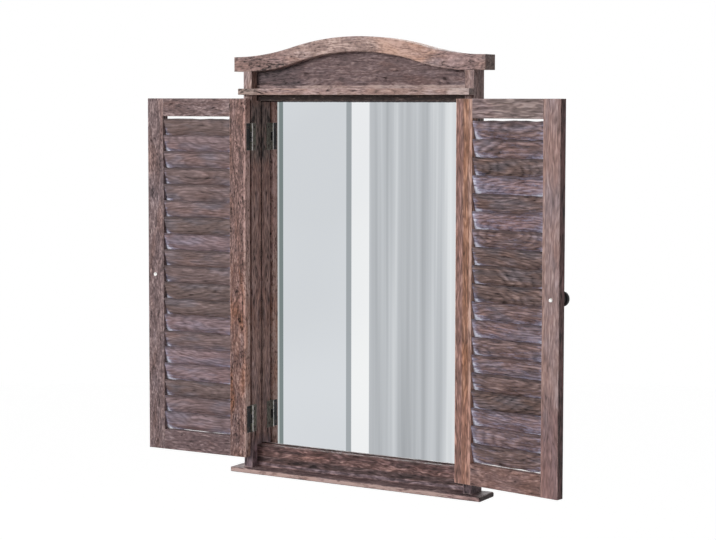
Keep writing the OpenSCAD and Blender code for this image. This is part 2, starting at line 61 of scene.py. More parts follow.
# ---------------------------------------------------------------------------------------------
# Camera. It stands 3 m away, to the right and a little above the mirror's middle, and looks to
# the left and slightly down. The lens is long, so level edges run nearly parallel.
camera_data = bpy.data.cameras.new("camera")
camera = bpy.data.objects.new("camera", camera_data)
bpy.context.scene.collection.objects.link(camera)
bpy.context.scene.camera = camera
camera.location = (1.4842, -2.5264, 0.609)
pitch, roll, yaw = 90 - 3.798, -0.096, 30.665
camera.rotation_euler = [math.radians(angle) for angle in (pitch, roll, yaw)]
camera_data.sensor_width = 36.0
camera_data.lens = 92.87
camera_data.shift_y = -0.065
camera_data.clip_end = 100.0
bpy.context.scene.view_settings.view_transform = "Standard"


# ---------------------------------------------------------------------------------------------
# Studio. A wide pale floor lies well below the mirror, which hangs at its height on a wall, and
# a plain grey drape stands far in front of it, so that the glass has something to show.
def linear(hex_colour):
    """Turns an sRGB hex colour into the linear red, green, blue and alpha of a socket."""
    parts = [int(hex_colour[i:i + 2], 16) / 255 for i in (1, 3, 5)]
    return [p / 12.92 if p <= 0.04045 else ((p + 0.055) / 1.055) ** 2.4 for p in parts] + [1.0]


def link(tree, value, socket):
    """Links a node's result, or one of its outputs, to a socket."""
    if isinstance(value, bpy.types.Node):
        value = next(s for s in value.outputs if s.enabled)
    tree.links.new(value, socket)


def add(tree, kind, inputs=None, stops=None, **settings):
    """Adds a node: its settings, a ramp's stops, and each input as a value or as a link."""
    node = tree.nodes.new("ShaderNode" + kind)
    for setting, value in settings.items():
        setattr(node, setting, value)
    for i, (place, colour) in enumerate(stops or []):
        elements = node.color_ramp.elements
        stop = elements[i] if i < 2 else elements.new(place)
        stop.position = place
        stop.color = colour
    for key, value in (inputs or {}).items():
        socket = node.inputs[key] if isinstance(key, int) else next(
            s for s in node.inputs if key in (s.identifier, s.name))
        if isinstance(value, (bpy.types.Node, bpy.types.NodeSocket)):
            link(tree, value, socket)
        else:
            socket.default_value = value
    return node


def start_material(name):
    """Starts a material, and returns it with its node tree and its shader."""
    material = bpy.data.materials.new(name)
    material.use_nodes = True
    return material, material.node_tree, material.node_tree.nodes["Principled BSDF"]


def in_view(tree):
    """Gives 1 where a surface is looked at, straight or in a shiny piece, and 0 for its light."""
    ray = add(tree, "LightPath")
    seen = add(tree, "Math", {0: ray.outputs["Is Camera Ray"], 1: ray.outputs["Is Glossy Ray"]},
               operation="MAXIMUM")
    return add(tree, "Math", {0: seen, 1: ray.outputs["Is Transmission Ray"]}, operation="MAXIMUM")


AMBIENT = 0.38        # What the surroundings give every side of the object; the lamps add the rest

world = bpy.data.worlds.new("white_studio")
bpy.context.scene.world = world
world.use_nodes = True
air = world.node_tree
air.nodes.clear()
level = add(air, "Mix", {"Factor_Float": in_view(air), "A_Float": AMBIENT, "B_Float": 1.0})
sky = add(air, "Background", {"Color": linear("#FFFFFF"), "Strength": level})
add(air, "OutputWorld", {"Surface": sky})

FLOOR_Z = -1.2        # Metres below the mirror's foot
FLOOR_RADIUS = 9
FLOOR_SIDES = 48
floor_rim = [i * math.pi / (FLOOR_SIDES / 2) for i in range(FLOOR_SIDES)]
floor_mesh = bpy.data.meshes.new("studio_floor")
floor_mesh.from_pydata(
    [(FLOOR_RADIUS * math.cos(a), FLOOR_RADIUS * math.sin(a), FLOOR_Z) for a in floor_rim],
    [], [list(range(FLOOR_SIDES))])
floor = bpy.data.objects.new("studio_floor", floor_mesh)
bpy.context.scene.collection.objects.link(floor)
floor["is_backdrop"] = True

# Rolled vinyl, dead matt: it looks white, takes a faint shadow and shows no reflection
pale_vinyl, tree, shader = start_material("pale_studio_vinyl")
shader.inputs["Base Color"].default_value = linear("#BCBCBC")
shader.inputs["Roughness"].default_value = 0.9
shader.inputs["Specular IOR Level"].default_value = 0.1
glow = add(tree, "Math", {0: in_view(tree), 1: 0.78}, operation="MULTIPLY")
shader.inputs["Emission Color"].default_value = linear("#FFFFFF")
link(tree, glow, shader.inputs["Emission Strength"])
floor_mesh.materials.append(pale_vinyl)

# The drape is hung in shallow folds on a wide curve, five metres in front of the glass
DRAPE_RADIUS = 5.2
DRAPE_START = 200     # Degrees round the mirror, from its right
DRAPE_ANGLE = 140
DRAPE_STRIPS = 240
STAGE_TOP = 3.4       # The height that the drape and the boards reach
drape_points = []
for i in range(DRAPE_STRIPS + 1):
    a = math.radians(DRAPE_START + DRAPE_ANGLE * i / DRAPE_STRIPS)
    r = DRAPE_RADIUS + 0.05 * math.sin(i * 0.9) + 0.04 * math.sin(i * 0.37 + 1)
    drape_points.append((r * math.cos(a), r * math.sin(a)))
drape_mesh = bpy.data.meshes.new("studio_drape")
drape_mesh.from_pydata(
    [(x, y, z) for z in (FLOOR_Z, STAGE_TOP) for x, y in drape_points], [],
    [(i, i + 1, i + DRAPE_STRIPS + 2, i + DRAPE_STRIPS + 1) for i in range(DRAPE_STRIPS)])
drape_mesh.shade_smooth()
drape = bpy.data.objects.new("studio_drape", drape_mesh)
bpy.context.scene.collection.objects.link(drape)
drape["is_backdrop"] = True
drape.visible_camera = False

# Brushed cotton, matt, light grey to near white. The shade of its wide soft folds and the narrow
# pleats in them is painted in.
grey_drape, tree, shader = start_material("grey_studio_drape")
tree.nodes.clear()
level = add(tree, "Mix", {"Factor_Float": in_view(tree), "A_Float": AMBIENT, "B_Float": 1.0})
spot = add(tree, "TexCoord")
painted_fold_shade = add(tree, "Mapping", {"Vector": spot.outputs["Object"], "Scale": (1.0, 1.0, 0.1)})
painted_fold_shade = add(tree, "TexNoise", {"Vector": painted_fold_shade, "Scale": 1.7, "Detail": 2.5})
painted_pleat_shade = add(tree, "Mapping", {"Vector": spot.outputs["Object"], "Scale": (1.0, 1.0, 0.015)})
painted_pleat_shade = add(tree, "TexNoise", {"Vector": painted_pleat_shade, "Scale": 12.0, "Detail": 3.0, "Roughness": 0.6})
shade = add(tree, "Math", {0: painted_fold_shade.outputs["Fac"], 1: 0.45}, operation="MULTIPLY")
shade = add(tree, "Math", {0: painted_pleat_shade.outputs["Fac"], 1: 0.55, 2: shade}, operation="MULTIPLY_ADD")
tone = add(tree, "ValToRGB", {"Fac": shade},
           [(0.38, linear("#ABAEB2")), (0.62, linear("#EFF1F3")), (0.5, linear("#CACDD1"))])
cloth = add(tree, "Emission", {"Color": tone.outputs["Color"], "Strength": level})
add(tree, "OutputMaterial", {"Surface": cloth})
drape_mesh.materials.append(grey_drape)

# White reflector boards stand before the drape's left, each between two angles round the mirror,
# with grey strips at their edges that are painted shadow. They are matt card, faintly clouded.
BOARD_RADIUS = 4.8
BOARDS = (("far_board", 219.0, 235.35, "#C3C9C9"),
          ("far_shadow_edge", 235.35, 235.55, "#7F8989"),
          ("board", 235.55, 238.7, "#DADDE1"),
          ("edge", 238.7, 238.96, "#A6ABAF"),
          ("near_board", 238.96, 239.85, "#F4F5F7"))
for part, start, end, hue in BOARDS:
    ends = [math.radians(a) for a in (start, end)]
    corners = [(BOARD_RADIUS * math.cos(a), BOARD_RADIUS * math.sin(a)) for a in ends]
    board_mesh = bpy.data.meshes.new("studio_" + part)
    board_mesh.from_pydata(
        [(x, y, z) for z in (FLOOR_Z, STAGE_TOP) for x, y in corners], [], [(0, 1, 3, 2)])
    white_board = bpy.data.objects.new("studio_" + part, board_mesh)
    bpy.context.scene.collection.objects.link(white_board)
    white_board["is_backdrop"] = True
    white_board.visible_camera = False
    card, tree, shader = start_material("matt_white_card_" + part)
    tree.nodes.clear()
    level = add(tree, "Mix", {"Factor_Float": in_view(tree), "A_Float": AMBIENT, "B_Float": 1.0})
    spot = add(tree, "TexCoord")
    cloud = add(tree, "TexNoise", {"Vector": spot.outputs["Object"], "Scale": 1.1, "Detail": 1.0})
    brighter = [min(1.0, v * 1.1) for v in linear(hue)[:3]] + [1.0]
    tone = add(tree, "ValToRGB", {"Fac": cloud.outputs["Fac"]}, [(0.35, linear(hue)), (0.65, brighter)])
    face = add(tree, "Emission", {"Color": tone.outputs["Color"], "Strength": level})
    add(tree, "OutputMaterial", {"Surface": face})
    board_mesh.materials.append(card)

# Lamps: a large soft box at the left front, as high as a window, and a weaker one behind. Each
# gives its share of a plain white level to a surface that faces it.
LAMP_DISTANCE = 3.6
LAMP_AIM_Z = 0.35     # Half the mirror's height
BOX_YIELD = 0.85      # What a wide box gives, against a small lamp of the same power
for lamp_name, azimuth, elevation, width, share in (
        ("window_box", -24, 17.5, 1.5, 0.64), ("rear_box", -155, 25, 2.0, 0.42)):
    lamp_data = bpy.data.lights.new(lamp_name, "AREA")
    lamp_data.shape = "SQUARE"
    lamp_data.size = width
    lamp_data.energy = share * math.pi ** 2 * LAMP_DISTANCE ** 2 / BOX_YIELD
    lamp = bpy.data.objects.new(lamp_name, lamp_data)
    bpy.context.scene.collection.objects.link(lamp)
    a, e = math.radians(azimuth), math.radians(elevation)
    back = Vector((math.sin(a) * math.cos(e), -math.cos(a) * math.cos(e), math.sin(e)))
    lamp.location = Vector((0, 0, LAMP_AIM_Z)) + back * LAMP_DISTANCE
    lamp.rotation_euler = back.to_track_quat("Z", "Y").to_euler()


# ---------------------------------------------------------------------------------------------
# Side posts. Two boards of paulownia on edge, planed, torched until the soft grain chars, then
# wire-brushed and wiped with a grey wash, so dark open pores lie between pinkish ridges.
CHAR = "#2A1F1F"      # Soft grain that the flame turned to charcoal
BARE = "#AE7050"      # Orange wood that the flame passed over
ASH = "#8C8794"       # Grey-violet where the wash stayed
BRIGHT = "#D2BDB6"    # Raised grain rubbed clean by the brush


def torched_paulownia(name, origin, turn, body, pale, seed, ring=5.5, heart=(0.0, 14.0, -26.0),
                      taper=0.0, sway=1.2, sweep=22.0, figure=0.24, grit=0.42, contrast=1.0,
                      stretch=1.0, pores=0.3, warmth=0.2, ash=0.2, wear=0.6, bands=(), stack=None):
    """A torched and brushed board. The eye gets matt wood: growth rings in figures, clustered
    dark pores, pale brushed ridges, warm and ashen patches, and edges rubbed light.

    Its frame has X along the grain, Y across the face and Z through the thickness, in mm from
    origin; turn holds its angles. The rings are ring mm apart round the line of the tree's heart,
    and taper draws them in along the grain. Sway bends the rings, and sweep the fibres, in mm.
    Figure, grit and pores are how strongly rings, specks and pores show, contrast how far the
    tones lie apart, and stretch how long the marks are. Warmth and ash are the shares of the
    orange and violet casts, and wear that of the rubbed edges. Each of bands is an axis, a start,
    an end and a softness in mm along it, how far it lifts the tone, a colour cast and its share.
    A stack is the Y and Z from one board of several to the next; each has marks of its own."""
    material, tree, shader = start_material(name)
    angles = [math.radians(a) for a in turn]
    spot = add(tree, "TexCoord")
    board = add(tree, "Mapping", {"Vector": spot.outputs["Object"], "Location": origin,
                                  "Rotation": angles, "Scale": (0.001, 0.001, 0.001)},
                vector_type="TEXTURE")
    layout = add(tree, "SeparateXYZ", {0: board})
    place = board
    if stack:
        layer = add(tree, "Math", {0: layout.outputs["Z"], 1: stack[1]}, operation="DIVIDE")
        layer = add(tree, "Math", {0: layer}, operation="ROUND")
        layer.label = "layer"
        shift = add(tree, "VectorMath", {0: (0.0, *stack), "Scale": layer}, operation="SCALE")
        board = add(tree, "VectorMath", {0: board, 1: shift}, operation="SUBTRACT")
        layout = add(tree, "SeparateXYZ", {0: board})
        # Each layer is cut from another place in the tree, up to 160 mm along and 60 mm aside
        own = add(tree, "Math", {0: layer, 1: 3.71, 2: seed}, operation="MULTIPLY_ADD")
        chance = add(tree, "TexWhiteNoise", {"W": own}, noise_dimensions="1D")
        chance.label = "chance"
        shift = add(tree, "VectorMath", {0: chance.outputs["Color"], 1: (160.0, 60.0, 26.0)},
                    operation="MULTIPLY")
        place = add(tree, "VectorMath", {0: board, 1: shift}, operation="ADD")
    else:
        own = add(tree, "Value")
        own.outputs[0].default_value = seed
    board.label = "board"
    layout.label = "layout"

    # The fibres sway round where branches grew, every 80 mm or so
    size = add(tree, "VectorMath", {0: place, 1: (1 / 80, 1 / 22, 1 / 22)}, operation="MULTIPLY")
    bend = add(tree, "TexNoise", {"Vector": size, "W": own, "Scale": 1.0, "Detail": 2.0},
               noise_dimensions="4D")
    shift = add(tree, "VectorMath", {0: bend.outputs["Color"], 1: (0.5, 0.5, 0.5)},
                operation="SUBTRACT")
    shift = add(tree, "VectorMath", {0: shift, 1: (0.0, sweep, sweep)}, operation="MULTIPLY")
    fibre = add(tree, "VectorMath", {0: place, 1: shift}, operation="ADD")

    # The marks: length and width in mm, detail, and the noise that counts as none and as all of
    # it. Real pores are 0.3 mm wide; these are as coarse as they need to be to show.
    masks = {}
    for mask, length, width, detail, none, full in (
            ("figure", 60.0, 15.0, 3.0, 0.0, 1.0),
            ("scorch", 38.0, 11.0, 3.0, 0.30, 0.70),
            ("warmth", 90.0, 20.0, 2.0, 0.48, 0.62),
            ("ash", 60.0, 16.0, 2.0, 0.48, 0.66),
            ("fibre", 26.0 * stretch, 2.0, 1.5, 0.28, 0.72),
            ("speckle", 5.0 * stretch, 2.6, 2.5, 0.26, 0.74),
            ("cluster", 30.0, 8.0, 2.0, 0.42, 0.58),
            ("pores", 6.0 * stretch, 2.2, 2.0, 0.52, 0.66)):
        size = add(tree, "VectorMath", {0: fibre, 1: (1 / length, 1 / width, 1 / width)},
                   operation="MULTIPLY")
        blots = add(tree, "TexNoise", {"Vector": size, "W": own, "Scale": 1.0, "Detail": detail},
                    noise_dimensions="4D")
        masks[mask] = add(tree, "MapRange", {"Value": blots.outputs["Fac"],
                                             "From Min": none, "From Max": full})

    # Growth rings round a heart that lies behind the board
    away = add(tree, "VectorMath", {0: fibre, 1: heart}, operation="SUBTRACT")
    away = add(tree, "VectorMath", {0: away, 1: (taper, 1.0, 1.0)}, operation="MULTIPLY")
    away = add(tree, "VectorMath", {0: away}, operation="LENGTH")
    rings = add(tree, "Math", {0: away.outputs["Value"], 1: 1 / ring}, operation="MULTIPLY")
    rings = add(tree, "Math", {0: masks["figure"], 1: 5 * sway, 2: rings}, operation="MULTIPLY_ADD")
    rings = add(tree, "Math", {0: rings}, operation="FRACT")
    masks["rings"] = add(tree, "ValToRGB", {"Fac": rings},
                         [(0.0, (0, 0, 0, 1)), (1.0, (0, 0, 0, 1)), (0.3, (0.7, 0.7, 0.7, 1)),
                          (0.62, (1, 1, 1, 1)), (0.82, (0.6, 0.6, 0.6, 1))])

    # One tone from char at 0 to rubbed ridges at 1, less where pores lie close together
    weights = (("rings", figure), ("scorch", 0.26), ("fibre", 0.26), ("speckle", grit))
    tone = add(tree, "Value")
    tone.outputs[0].default_value = 0.52 - contrast * (
        figure * 0.6 + sum(weight for _, weight in weights[1:]) / 2)
    for mask, weight in weights:
        tone = add(tree, "Math", {0: masks[mask], 1: weight * contrast, 2: tone},
                   operation="MULTIPLY_ADD")
    dashes = add(tree, "Math", {0: masks["cluster"], 1: 0.85, 2: 0.15}, operation="MULTIPLY_ADD")
    dashes = add(tree, "Math", {0: dashes, 1: masks["pores"]}, operation="MULTIPLY")
    tone = add(tree, "Math", {0: dashes, 1: -pores, 2: tone}, operation="MULTIPLY_ADD")
    # Bands of another tone: where the piece was scuffed, shaded from the flame or rubbed, and where a
    # caller paints light or shade
    casts = [(masks["warmth"], linear(BARE), warmth), (masks["ash"], linear(ASH), ash)]
    for axis, start, end, soft, lift, cast, share in bands:
        reach = add(tree, "Math", {0: masks["figure"], 1: 2 * soft, 2: layout.outputs[axis]},
                    operation="MULTIPLY_ADD")
        rise = add(tree, "MapRange", {"Value": reach, "From Min": start, "From Max": start + soft},
                   interpolation_type="SMOOTHSTEP")
        fall = add(tree, "MapRange", {"Value": reach, "From Min": end + 2 * soft,
                                      "From Max": end + soft}, interpolation_type="SMOOTHSTEP")
        amount = add(tree, "Math", {0: rise, 1: fall}, operation="MULTIPLY")
        tone = add(tree, "Math", {0: amount, 1: lift, 2: tone}, operation="MULTIPLY_ADD")
        casts.append((amount, linear(cast), share))
    if stack:
        apart = add(tree, "Math", {0: chance.outputs["Value"], 1: 0.5}, operation="SUBTRACT")
        tone = add(tree, "Math", {0: apart, 1: 0.22, 2: tone}, operation="MULTIPLY_ADD")
    char, wood, light = linear(CHAR), linear(body), linear(pale)
    deep = [0.45 * c + 0.55 * w for c, w in zip(char, wood)]
    bright = [0.5 * p + 0.5 * b for p, b in zip(light, linear(BRIGHT))]
    tint = add(tree, "ValToRGB", {"Fac": tone},
               [(0.0, char), (1.0, bright), (0.26, deep), (0.52, wood), (0.78, light)])
    for amount, cast, share in casts:
        amount = add(tree, "Math", {0: amount, 1: share}, operation="MULTIPLY")
        tint = add(tree, "Mix", {"Factor_Float": amount, "A_Color": tint, "B_Color": cast},
                   data_type="RGBA", blend_type="COLOR")

    # Cut ends drink the flame and are darker; edges worn to a 1.8 mm round show pale wood
    along = Euler(angles).to_matrix() @ Vector((1, 0, 0))
    ends = add(tree, "VectorMath", {0: spot.outputs["Normal"], 1: along}, operation="DOT_PRODUCT")
    ends = add(tree, "Math", {0: ends.outputs["Value"]}, operation="ABSOLUTE")
    ends = add(tree, "MapRange", {"Value": ends, "From Min": 0.7, "From Max": 0.9, "To Max": 0.55})
    tint = add(tree, "Mix", {"Factor_Float": ends, "A_Color": tint, "B_Color": char},
               data_type="RGBA")
    flat = add(tree, "NewGeometry")
    rounded = add(tree, "Bevel", {"Radius": 0.0018}, samples=4)
    turned = add(tree, "VectorMath", {0: flat.outputs["Normal"], 1: rounded},
                 operation="DOT_PRODUCT")
    rub = add(tree, "MapRange", {"Value": turned.outputs["Value"],
                                 "From Min": 0.99, "From Max": 0.87})
    rub = add(tree, "Math", {0: rub, 1: masks["speckle"]}, operation="MULTIPLY")
    rub = add(tree, "Math", {0: rub, 1: 1.6 * wear}, operation="MULTIPLY", use_clamp=True)
    tint = add(tree, "Mix", {"Factor_Float": rub, "A_Color": tint, "B_Color": bright},
               data_type="RGBA")
    tint.label = "wood colour"
    link(tree, tint, shader.inputs["Base Color"])

    # Brushing leaves the hard grain standing about 0.4 mm proud of the pores
    relief = add(tree, "Math", {0: masks["rings"], 1: 0.5, 2: masks["fibre"]},
                 operation="MULTIPLY_ADD")
    relief = add(tree, "Math", {0: masks["speckle"], 1: 0.6, 2: relief}, operation="MULTIPLY_ADD")
    relief = add(tree, "Math", {0: relief, 1: dashes}, operation="SUBTRACT")
    bump = add(tree, "Bump", {"Height": relief, "Strength": 0.5, "Distance": 0.0005})
    link(tree, bump, shader.inputs["Normal"])
    matt = add(tree, "MapRange", {"Value": dashes, "To Min": 0.6, "To Max": 0.85})
    link(tree, matt, shader.inputs["Roughness"])
    shader.inputs["Specular IOR Level"].default_value = 0.25
    return material


def finish(node, material):
    """Puts a material on a CAD node in place of its plain one."""
    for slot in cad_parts[node].material_slots:
        slot.material = material


def middle(node):
    """The middle of a CAD node's box."""
    low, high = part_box(node)
    return (low + high) / 2


UPRIGHT_EDGE = (0, -90, 0)    # Grain up, face to the side
for side, seed, body, pale, stretch, shade in (
        ("left", 3.1, "#997E77", "#C4A99F", 2.2, -0.1),
        ("right", 8.4, "#836A65", "#A98F88", 1.2, -0.22)):
    finish(side + "_post", torched_paulownia(
        side + "_post_torched_paulownia", middle(side + "_post"), UPRIGHT_EDGE, body, pale, seed,
        contrast=1.15, stretch=stretch, warmth=0.3, wear=0.9, bands=[
            ("X", -330, 276, 6, shade, "#8A625A", 0.3),
            # Painted shadow of the ledge, on each post just below it
            ("X", 190, 262, 20, -0.18, "#5C5450", 0.5),
            ("X", -345, -290, 24, 0.0, "#6A6678", 0.35)]))

# ---------------------------------------------------------------------------------------------
# Bottom rail and head rail. Straight boards dowelled between the posts, with the grain lengthwise.
# The bottom rail is paler along its top and foot; the head rail's near-black is painted shade.
LENGTHWISE = (90, 0, 0)       # Grain level, face to the front
finish("bottom_rail", torched_paulownia(
    "bottom_rail_torched_paulownia", middle("bottom_rail"), LENGTHWISE, "#5E4A49", "#856E6D", 12.2,
    ring=7.0, contrast=1.5, stretch=2.2, warmth=0.4, bands=[
        ("Y", 8.5, 30, 2.0, -0.04, "#7E5653", 0.4),
        ("Y", 0.0, 7.0, 2.0, 0.14, "#A06C60", 0.4),
        ("Y", -9.5, -4.0, 1.2, -0.2, "#5A4646", 0.3),
        ("Y", -15.5, -11.5, 1.0, 0.17, "#84747E", 0.5),
        ("Y", -30, -16.0, 1.5, 0.17, "#806668", 0.4)]))
# Painted shade: the head rail's dark tones copy the ledge's shadow over it
finish("head_rail", torched_paulownia(
    "head_rail_torched_paulownia", middle("head_rail"), LENGTHWISE, "#3A2E2B", "#5A4A45", 15.9,
    ring=6.0))

# Turned beech dowels: pale tan and smooth, with flecks 11 mm long and 1 mm wide
beech, tree, shader = start_material("turned_beech")
spot = add(tree, "TexCoord")
size = add(tree, "VectorMath", {0: spot.outputs["Object"], 1: (90.0, 900.0, 900.0)},
           operation="MULTIPLY")
flecks = add(tree, "TexNoise", {"Vector": size, "Scale": 1.0, "Detail": 3.0})
tint = add(tree, "ValToRGB", {"Fac": flecks.outputs["Fac"]},
           [(0.35, linear("#A98358")), (0.65, linear("#C7A57A"))])
link(tree, tint, shader.inputs["Base Color"])
bump = add(tree, "Bump", {"Height": flecks.outputs["Fac"], "Strength": 0.3, "Distance": 0.0002})
link(tree, bump, shader.inputs["Normal"])
shader.inputs["Roughness"].default_value = 0.55
finish("frame_dowels", beech)

# ---------------------------------------------------------------------------------------------
# Pediment panel. A thin board that fills the arch, greyer than the rest, its grain level, with a
# pale strip along its foot, just over the ledge.
finish("pediment_panel", torched_paulownia(
    "pediment_torched_paulownia", middle("pediment_panel"), LENGTHWISE, "#6F5A5A", "#947E7B", 21.3,
    ring=5.0, heart=(0.0, -40.0, -30.0), stretch=1.4, bands=[
        ("Y", -40, -24.5, 1.5, 0.42, "#C2A69C", 0.4),
        ("X", -240, -130, 40, -0.24, "#7A6A6E", 0.3)]))

# ---------------------------------------------------------------------------------------------
# Crown. One plank sawn to a wave and pinned down on the posts' ends, its grain level. It is
# darker on its left, rubbed pale from the middle on, and orange where the flame only passed over.
finish("crown", torched_paulownia(
    "crown_torched_paulownia", middle("crown"), LENGTHWISE, "#A48981", "#CBB0A6", 33.7, ring=7.0,
    heart=(0.0, -30.0, -40.0), sway=1.6, contrast=1.1, pores=0.22, bands=[
        ("X", -290, -150, 50, -0.2, "#8A6A68", 0.3),
        ("X", 62, 112, 46, 0.24, "#C48B66", 0.38),
        ("X", 165, 200, 30, -0.1, "#8E7882", 0.25)]))

# Blued steel wire: dark and half dull, with brown specks of rust about 1 mm across
pin_steel, tree, shader = start_material("blued_wire_steel")
spot = add(tree, "TexCoord")
rust = add(tree, "TexNoise", {"Vector": spot.outputs["Object"], "Scale": 900.0, "Detail": 3.0})
tint = add(tree, "ValToRGB", {"Fac": rust.outputs["Fac"]},
           [(0.4, linear("#3B3D42")), (0.65, linear("#6A5348"))])
link(tree, tint, shader.inputs["Base Color"])
matt = add(tree, "MapRange", {"Value": rust.outputs["Fac"], "To Min": 0.35, "To Max": 0.7})
link(tree, matt, shader.inputs["Roughness"])
shader.inputs["Metallic"].default_value = 1.0
finish("crown_pins", pin_steel)

# ---------------------------------------------------------------------------------------------
# Ledge. A planed strip across the posts' fronts, notched back between them as far as the head
# rail. It is straight-grained, rubbed paler than the rest and nearly white at its right end.
LEVEL = (0, 0, 0)             # Grain level, face up
finish("ledge", torched_paulownia(
    "ledge_torched_paulownia", middle("ledge"), LEVEL, "#A0847C", "#C6ABA2", 41.5, ring=4.5,
    pores=0.45, stretch=1.6, bands=[
        ("X", -260, -190, 30, -0.15, "#80756E", 0.5),
        ("X", 180, 240, 12, 0.3, "#D6C3BD", 0.5)]))

# ---------------------------------------------------------------------------------------------
# Sill. A wide thin board under everything, its top dark and scuffed and its front edge pale. Four
# screws hold it up against the posts' ends.
finish("sill", torched_paulownia(
    "sill_torched_paulownia", middle("sill"), LEVEL, "#6A5657", "#9A827E", 47.7, ring=6.0,
    contrast=1.3, stretch=1.5, bands=[
        ("Y", -40, -22.7, 0.15, 0.5, "#C09A90", 0.45),
        ("X", 178, 240, 14, -0.28, "#5A4344", 0.3),
        ("X", 230.2, 240, 0.1, -0.4, "#3A2A2A", 0.3)]))

# Bright zinc plate: a light grey metal, clouded by a thin bloom in patches of 2 to 3 mm
zinc, tree, shader = start_material("bright_zinc_plate")
spot = add(tree, "TexCoord")
bloom = add(tree, "TexNoise", {"Vector": spot.outputs["Object"], "Scale": 420.0, "Detail": 4.0})
tint = add(tree, "ValToRGB", {"Fac": bloom.outputs["Fac"]},
           [(0.35, linear("#8E9194")), (0.65, linear("#C3C4C2"))])
link(tree, tint, shader.inputs["Base Color"])
matt = add(tree, "MapRange", {"Value": bloom.outputs["Fac"], "From Min": 0.3, "From Max": 0.7,
                              "To Min": 0.28, "To Max": 0.5})
link(tree, matt, shader.inputs["Roughness"])
bump = add(tree, "Bump", {"Height": bloom.outputs["Fac"], "Strength": 0.2, "Distance": 0.0001})
link(tree, bump, shader.inputs["Normal"])
shader.inputs["Metallic"].default_value = 1.0
for node in ("sill_screws", "board_pins", "hanger_screws", "left_hanger_plate", "right_hanger_plate"):
    finish(node, zinc)

# ---------------------------------------------------------------------------------------------
# Mirror and its back board. Float glass silvered on its back lies in a rebate behind the frame,
# and hardboard closes the back. The glass mirrors cleanly, but for a thin dark line painted along
# its border, a painted reflection of the shadowed edges of the posts and rails.
rail_low, rail_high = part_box("bottom_rail")
foot_edge = rail_high.z
head_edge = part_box("head_rail")[0].z
side_edge = middle("mirror_glass").x + (rail_high.x - rail_low.x) / 2
silvered, tree, shader = start_material("silvered_float_glass")
spot = add(tree, "TexCoord")
layout = add(tree, "SeparateXYZ", {0: spot.outputs["Object"]})
across = add(tree, "Math", {0: layout.outputs["X"]}, operation="ABSOLUTE")
upward = add(tree, "Math", {0: layout.outputs["Z"], 1: (foot_edge + head_edge) / 2},
             operation="SUBTRACT")
upward = add(tree, "Math", {0: upward}, operation="ABSOLUTE")
upward = add(tree, "Math", {0: upward, 1: side_edge - (head_edge - foot_edge) / 2},
             operation="ADD")
border = add(tree, "Math", {0: across, 1: upward}, operation="MAXIMUM")
mottle = add(tree, "TexNoise", {"Vector": spot.outputs["Object"], "Scale": 260.0, "Detail": 3.0})
border = add(tree, "Math", {0: mottle.outputs["Fac"], 1: 0.0012, 2: border},
             operation="MULTIPLY_ADD")
# Painted reflection: a dark line along the border, for the shadowed rebate that the glass shows
painted_edge_reflection = add(tree, "MapRange", {"Value": border, "From Min": side_edge - 0.0014,
                              "From Max": side_edge - 0.0004})
tint = add(tree, "Mix", {"Factor_Float": painted_edge_reflection, "A_Color": linear("#F3F4F4"),
                         "B_Color": linear("#43393A")}, data_type="RGBA")
link(tree, tint, shader.inputs["Base Color"])
shader.inputs["Metallic"].default_value = 1.0
shader.inputs["Roughness"].default_value = 0.0
finish("mirror_glass", silvered)

# Hardboard, pressed from brown fibres: matt, flecked at 1.4 mm and clouded at 45 mm. The screen
# that it was pressed on leaves a net of 1.6 mm squares on this side.
NET = 0.0016
hardboard, tree, shader = start_material("pressed_hardboard")
spot = add(tree, "TexCoord")
felt = add(tree, "TexNoise", {"Vector": spot.outputs["Object"], "Scale": 700.0, "Detail": 3.0})
cloud = add(tree, "TexNoise", {"Vector": spot.outputs["Object"], "Scale": 22.0, "Detail": 4.0})
fleck = add(tree, "Math", {0: felt.outputs["Fac"], 1: 0.8}, operation="MULTIPLY")
fleck = add(tree, "Math", {0: cloud.outputs["Fac"], 1: 0.2, 2: fleck}, operation="MULTIPLY_ADD")
tint = add(tree, "ValToRGB", {"Fac": fleck}, [(0.35, linear("#5E4532")), (0.65, linear("#8A694B"))])
link(tree, tint, shader.inputs["Base Color"])
layout = add(tree, "SeparateXYZ", {0: spot.outputs["Object"]})
threads = []
for axis in ("X", "Z"):
    wave = add(tree, "Math", {0: layout.outputs[axis], 1: 2 * math.pi / NET}, operation="MULTIPLY")
    threads.append(add(tree, "Math", {0: wave}, operation="SINE"))
weave = add(tree, "Math", {0: threads[0], 1: threads[1]}, operation="MAXIMUM")
bump = add(tree, "Bump", {"Height": weave, "Strength": 0.4, "Distance": 0.0002})
link(tree, bump, shader.inputs["Normal"])
shader.inputs["Roughness"].default_value = 0.8
finish("back_board", hardboard)
